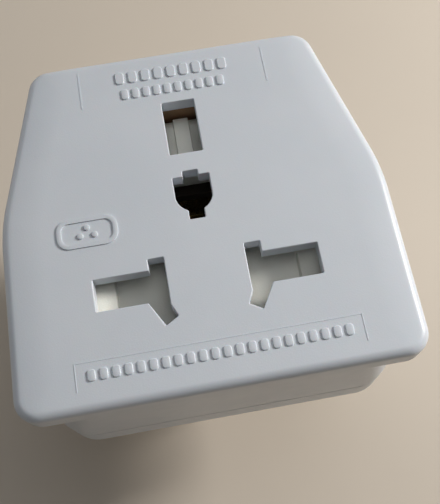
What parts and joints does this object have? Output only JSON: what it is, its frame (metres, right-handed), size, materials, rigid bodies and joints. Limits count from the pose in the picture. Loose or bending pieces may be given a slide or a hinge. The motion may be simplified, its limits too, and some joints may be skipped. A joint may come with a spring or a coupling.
{
  "type": "travel adapter",
  "caption": "Plug-in travel adapter: a rectangular-pin plug on the back and a multi-standard shuttered socket on the front.",
  "frame": {"origin": "on the plug's base face, midway between the line and neutral pins", "axes": "+Z out of the socket face, with the plug pins along -Z; +Y towards the earth pin; +X towards the line pin"},
  "size_m": [0.0526, 0.0494, 0.0522],
  "materials": {
    "casing": "satin gloss white moulding",
    "inner_moulding": "matt dark brown moulding",
    "shutter_plastic": "satin light grey moulding",
    "brass": "drawn brass",
    "sleeve_plastic": "satin black",
    "steel": "zinc plated",
    "plated_cap": "nickel plated",
    "ceramic": "unglazed ceramic"
  },
  "bodies": {
    "casing": {"face_cover": "casing", "body_shell": "casing", "plug_base": "casing", "contact_carrier": "inner_moulding", "earth_contact": "brass", "line_contact": "brass", "neutral_contact": "brass", "line_strap": "brass", "load_strap": "brass", "earth_pin": "brass", "line_pin": "brass", "neutral_pin": "brass", "line_pin_sleeve": "sleeve_plastic", "neutral_pin_sleeve": "sleeve_plastic", "earth_rivet": "brass", "line_rivet": "brass", "neutral_rivet": "brass", "fuse_clip_line": "brass", "fuse_clip_load": "brass", "housing_screw_left": "steel", "housing_screw_right": "steel", "housing_screw_front": "steel", "shutter_spring": "steel"},
    "shutter": {"shutter": "shutter_plastic"},
    "fuse_drawer": {"fuse_carrier": "casing", "fuse_tube": "ceramic", "fuse_cap_line": "plated_cap", "fuse_cap_load": "plated_cap"}
  },
  "joints": [
    {"name": "shutter_slide", "type": "slide", "parent": "casing", "child": "shutter", "axis": [0, -1, 0], "range_m": [0, 0.008], "stiffness_N_per_m": 60, "springref_m": -0.002, "deforming": ["shutter_spring"]},
    {"name": "fuse_drawer_slide", "type": "slide", "parent": "casing", "child": "fuse_drawer", "axis": [0, 0, -1], "range_m": [0, 0.018]}
  ]
}
